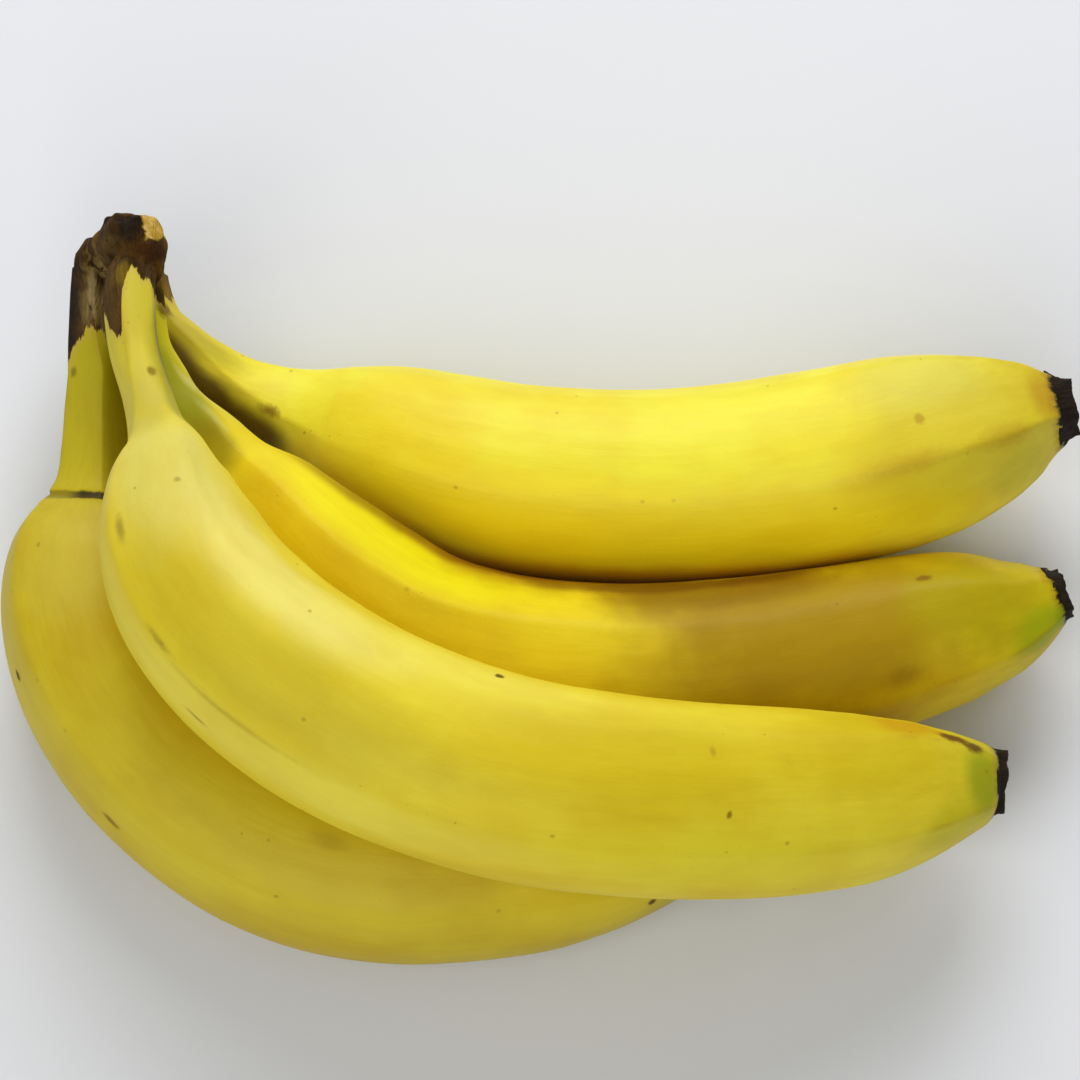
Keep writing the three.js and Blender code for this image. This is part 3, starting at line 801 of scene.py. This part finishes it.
def driedMaterial():
    material, tree, shader = newMaterial("dried_blossom")
    unbent = layerOf(tree, "unbent", "Vector")
    wide = use(tree, fibres, "Value", Vector=unbent, Spacing=0.9, Stretch=5)
    fine = use(tree, fibres, "Value", Vector=unbent, Spacing=0.3, Stretch=6)
    color = mixed(tree, wide, paint(12, 6, 2), paint(34, 20, 8))
    color = tinted(tree, color, fine, 0.25, (70, 50, 26))
    feed(tree, shader.inputs["Base Color"], color)
    feed(tree, shader.inputs["Roughness"], calc(tree, "MULTIPLY_ADD", fine, 0.15, 0.75))
    shader.inputs["Specular IOR Level"].default_value = 0.25
    bumped(tree, shader, calc(tree, "ADD", wide, fine), 0.2)
    return material


# Every banana

for seed, banana in enumerate(bananas):
    piece = bananaPiece(banana, seed * 11 + 3)
    piece.data.materials.append(skinMaterial(banana))
    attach(piece, "root")
    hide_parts(banana["name"])
print("bananas made")


# The crown

crown = {
    "lumps": [
        {"at": (-79.5, 66, 37), "half": (5.2, 6, 10.5), "turn": 0},  # the stalk's stub
        {"at": (-75.5, 63.7, 44), "half": (4.9, 6.1, 6), "turn": 12},  # the knob over the neck of banana c
        {"at": (-74.2, 59.6, 42.5), "half": (2.7, 3.2, 4.4), "turn": 0},  # its small lobe
        {"at": (-81.3, 69.2, 40.2), "half": (2, 2.3, 2.8), "turn": 0},  # the stub's corner
        {"at": (-80.5, 67, 31), "half": (6.2, 6, 8.5), "turn": 0},  # the wood between the necks
        {"at": (-85, 66.6, 28), "half": (4.5, 5, 5.3), "turn": 0},  # the shoulder over the neck of banana d
    ],
    "cuts": [
        {"at": (-80, 71, 38), "facing": (0.05, 1, 0.1)},
        {
            "at": (-73, 65.8, 47.4), "facing": (0.52, 0.36, 0.78),
            # pale wood shows beyond all of these planes, given as the way they face and a distance
            "pale": [((0.97, 0.2, -0.1), -65.3), ((-0.05, 0.94, 0.342), 78.4), ((0, 0, 1), 43)],
        },
    ],
    "voxel": 0.4,  # the mesh size of its one skin
    "upNeck": (0, 0.94, 0.34),  # the way that the bark's wrinkles run
}


def remeshed(piece, voxel):  # the piece as one closed skin: vertices in mm, normals and faces
    shrink = piece.modifiers.new("one skin", "REMESH")
    shrink.mode = "VOXEL"
    shrink.voxel_size = voxel * mm
    shrink.use_smooth_shade = True
    soften = piece.modifiers.new("soften", "SMOOTH")
    soften.factor = 0.5
    soften.iterations = 3
    evaluated = piece.evaluated_get(bpy.context.evaluated_depsgraph_get())
    mesh = evaluated.to_mesh()
    vertices = np.array([v.co for v in mesh.vertices]) / mm
    normals = np.array([v.normal for v in mesh.vertices])
    faces = [tuple(p.vertices) for p in mesh.polygons]
    evaluated.to_mesh_clear()
    bpy.data.objects.remove(piece)
    return vertices, normals, faces


def crownPiece():
    vertices, faces = [], []

    def add(points, corners):
        start = sum(len(v) for v in vertices)
        vertices.append(points)
        faces.extend(tuple(c + start for c in corner) for corner in corners)

    sides, rows = 48, 24
    angles = np.arange(sides) * 2 * math.pi / sides
    for banana in bananas:
        path = banana["path"]
        distances = np.linspace(0, banana["crownReach"] - 0.15, rows)
        ring, turn = np.meshgrid(distances, angles, indexing="ij")
        outline = outlineOf(turn, ridgeAt(banana, ring), sharpnessOf(banana, ring))
        outline *= np.interp(ring, (0, 3, banana["crownReach"]), (0.95, 0.95, 0.9))  # just inside the skin
        points = tubePoints(path, distances, angles, outline)
        ends = [points[0].mean(0), points[-1].mean(0)]
        add(np.vstack([points.reshape(-1, 3), ends]), tubeFaces(rows, sides))
    for lump in crown["lumps"]:
        ball = bmesh.new()
        bmesh.ops.create_icosphere(ball, subdivisions=4, radius=1)
        points = np.array([v.co for v in ball.verts])
        corners = [tuple(v.index for v in f.verts) for f in ball.faces]
        ball.free()
        x, y, z = (points * lump["half"]).T
        spin = math.radians(lump["turn"])
        spunX, spunY = x * math.cos(spin) - y * math.sin(spin), x * math.sin(spin) + y * math.cos(spin)
        add(np.stack([spunX, spunY, z], 1) + lump["at"] - pathOrigin, corners)
    rough = meshOf("crown_rough", np.vstack(vertices) * mm, faces)
    points, normals, corners = remeshed(rough, crown["voxel"])

    # wrinkles along the necks, and lumps between them
    upNeck = np.array(crown["upNeck"])
    drawn = points - np.outer(points @ upNeck, upNeck) * 0.86
    wrinkles = 0.55 * roughOf(drawn, 2.6, 4) + 0.28 * roughOf(drawn, 1.1, 8)
    knots = 0.5 * roughOf(points, 3.4, 15)
    points = points + normals * (wrinkles + knots - 0.1)[:, None]
    for cut in crown["cuts"]:
        facing = np.array(cut["facing"]) / np.linalg.norm(cut["facing"])
        past = (points - (np.array(cut["at"]) - pathOrigin)) @ facing
        uneven = 0.15 * roughOf(points, 1.6, 21)
        points = points - np.outer(np.maximum(past - uneven, 0), facing)
        if "pale" in cut:
            waver = 0.7 * roughOf(points, 2.2, 31) + 0.35 * roughOf(points, 0.8, 33)
            beyond = [rampOf(points @ np.array(way) - far + waver, -0.5, 0.5) for way, far in cut["pale"]]
            cutFace = np.min(beyond, axis=0)
    return meshOf("crown_bark_piece", points * mm, corners, {"cutFace": cutFace})


crownShape = crownPiece()
crownShape.data.materials.append(barkMaterial())
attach(crownShape, "root")
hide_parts("crown")
print("crown made")


# The dried flower ends

dried = driedMaterial()


def blossomPiece(banana, seed):
    path = banana["path"]
    sides, rows = 72, 22
    start = path["length"] - banana["blossomLength"] - 0.5
    distances = np.linspace(start, path["length"], rows)
    angles = np.arange(sides) * 2 * math.pi / sides
    ring, turn = np.meshgrid(distances, angles, indexing="ij")
    share = (ring - start) / (path["length"] - start)
    phase = banana["blossomTurn"]
    lobe = np.cos(5 * turn + phase)
    flat = np.stack([np.cos(turn) * 4, np.sin(turn) * 4, ring], -1).reshape(-1, 3)
    rough = (0.07 * roughOf(flat, 1.3, seed) + 0.025 * roughOf(flat, 0.5, seed + 3)).reshape(ring.shape)
    outline = 0.95 + 0.08 * lobe * share + 0.05 * np.cos(2 * turn + 3 * share + phase) + rough
    points = tubePoints(path, distances, angles, outline)
    middle, _, along, _, _ = path["at"](distances[-1:])
    # the rim stands out in rags, and the middle is sunk with a small stump in it
    rim = np.stack([np.cos(angles) * 4, np.sin(angles) * 4, 0 * angles], 1)
    rags = 0.4 + 0.25 * lobe[-1] + 0.35 * roughOf(rim, 0.8, seed + 7)
    points[-1] += rags[:, None] * along
    points[-2] += 0.5 * rags[:, None] * along
    sunkRings = ((0.86, 0.35), (0.74, -0.25), (0.58, -0.5), (0.4, -0.45), (0.26, 0.05), (0.15, 0.25))
    closing = []
    outer = points[-1] - rags[:, None] * along
    for reach, depth in sunkRings:
        uneven = 0.3 * roughOf(outer * reach, 0.9, seed + 9)
        closing.append(middle + (outer - middle) * reach + (depth + uneven)[:, None] * along)
    grid = np.concatenate([points, np.array(closing)])
    ends = [grid[0].mean(0), grid[-1].mean(0)]
    vertices = np.vstack([grid.reshape(-1, 3), ends])
    coarse = meshOf(banana["name"] + "_blossom_rough", vertices * mm, tubeFaces(len(grid), sides))
    points, normals, corners = remeshed(coarse, 0.2)
    points = points + normals * (0.07 * roughOf(points, 0.7, seed + 13))[:, None]
    name = banana["name"].replace("banana", "blossom_end")
    return meshOf(name + "_dried", points * mm, corners, {"unbent": points[:, [1, 2, 0]]})


for seed, banana in enumerate(bananas):
    piece = blossomPiece(banana, seed * 5 + 2)
    piece.data.materials.append(dried)
    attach(piece, "root")
    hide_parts(banana["name"].replace("banana", "blossom_end"))
print("flower ends made")


# Floor, lights and camera

floorHalf, floorTop = 4, -0.2 * mm
floorCorners = [(x * floorHalf, y * floorHalf, floorTop) for x, y in ((-1, -1), (1, -1), (1, 1), (-1, 1))]
floorMesh = bpy.data.meshes.new("floor")
floorMesh.from_pydata(floorCorners, [], [(0, 1, 2, 3)])
floor = bpy.data.objects.new("floor", floorMesh)
bpy.context.scene.collection.objects.link(floor)
pale, tree, shader = newMaterial("pale_floor")
shader.inputs["Base Color"].default_value = paint(226, 228, 233)
shader.inputs["Roughness"].default_value = 0.9
shader.inputs["Specular IOR Level"].default_value = 0.1
floorMesh.materials.append(pale)

lights = [
    {"name": "key", "at": (0.05, 0.95, 0.85), "size": 0.9, "power": 13, "color": (1, 0.99, 0.97)},
    {"name": "fill", "at": (-0.3, -0.8, 0.95), "size": 1.2, "power": 8.6, "color": (1, 0.995, 0.98)},
]
for light in lights:
    lamp = bpy.data.lights.new(light["name"], "AREA")
    lamp.size = light["size"]
    lamp.energy = light["power"]
    lamp.color = light["color"]
    holder = bpy.data.objects.new(light["name"], lamp)
    holder.location = light["at"]
    holder.rotation_mode = "QUATERNION"
    holder.rotation_quaternion = (Vector((0, 0, 0.02)) - Vector(light["at"])).to_track_quat("-Z", "Y")
    bpy.context.scene.collection.objects.link(holder)

world = bpy.data.worlds.new("studio")
bpy.context.scene.world = world
world.use_nodes = True
sky = world.node_tree.nodes["Background"]
sky.inputs["Color"].default_value = (0.94, 0.96, 1, 1)
sky.inputs["Strength"].default_value = 0.26

view = {"target": (-0.0005, 0.0097, 0.0245), "elevation": 70, "distance": 1.4, "lens": 245.6}
elevation = math.radians(view["elevation"])
toCamera = Vector((0, -math.cos(elevation), math.sin(elevation)))
camera = bpy.data.objects.new("camera", bpy.data.cameras.new("camera"))
camera.data.lens = view["lens"]
camera.data.sensor_width = 36
camera.data.clip_start = 0.05
camera.data.clip_end = 20
camera.location = Vector(view["target"]) + toCamera * view["distance"]
camera.rotation_mode = "QUATERNION"
camera.rotation_quaternion = (-toCamera).to_track_quat("-Z", "Y")
bpy.context.scene.collection.objects.link(camera)
bpy.context.scene.camera = camera
bpy.context.scene.view_settings.view_transform = "Standard"
print("stage set")
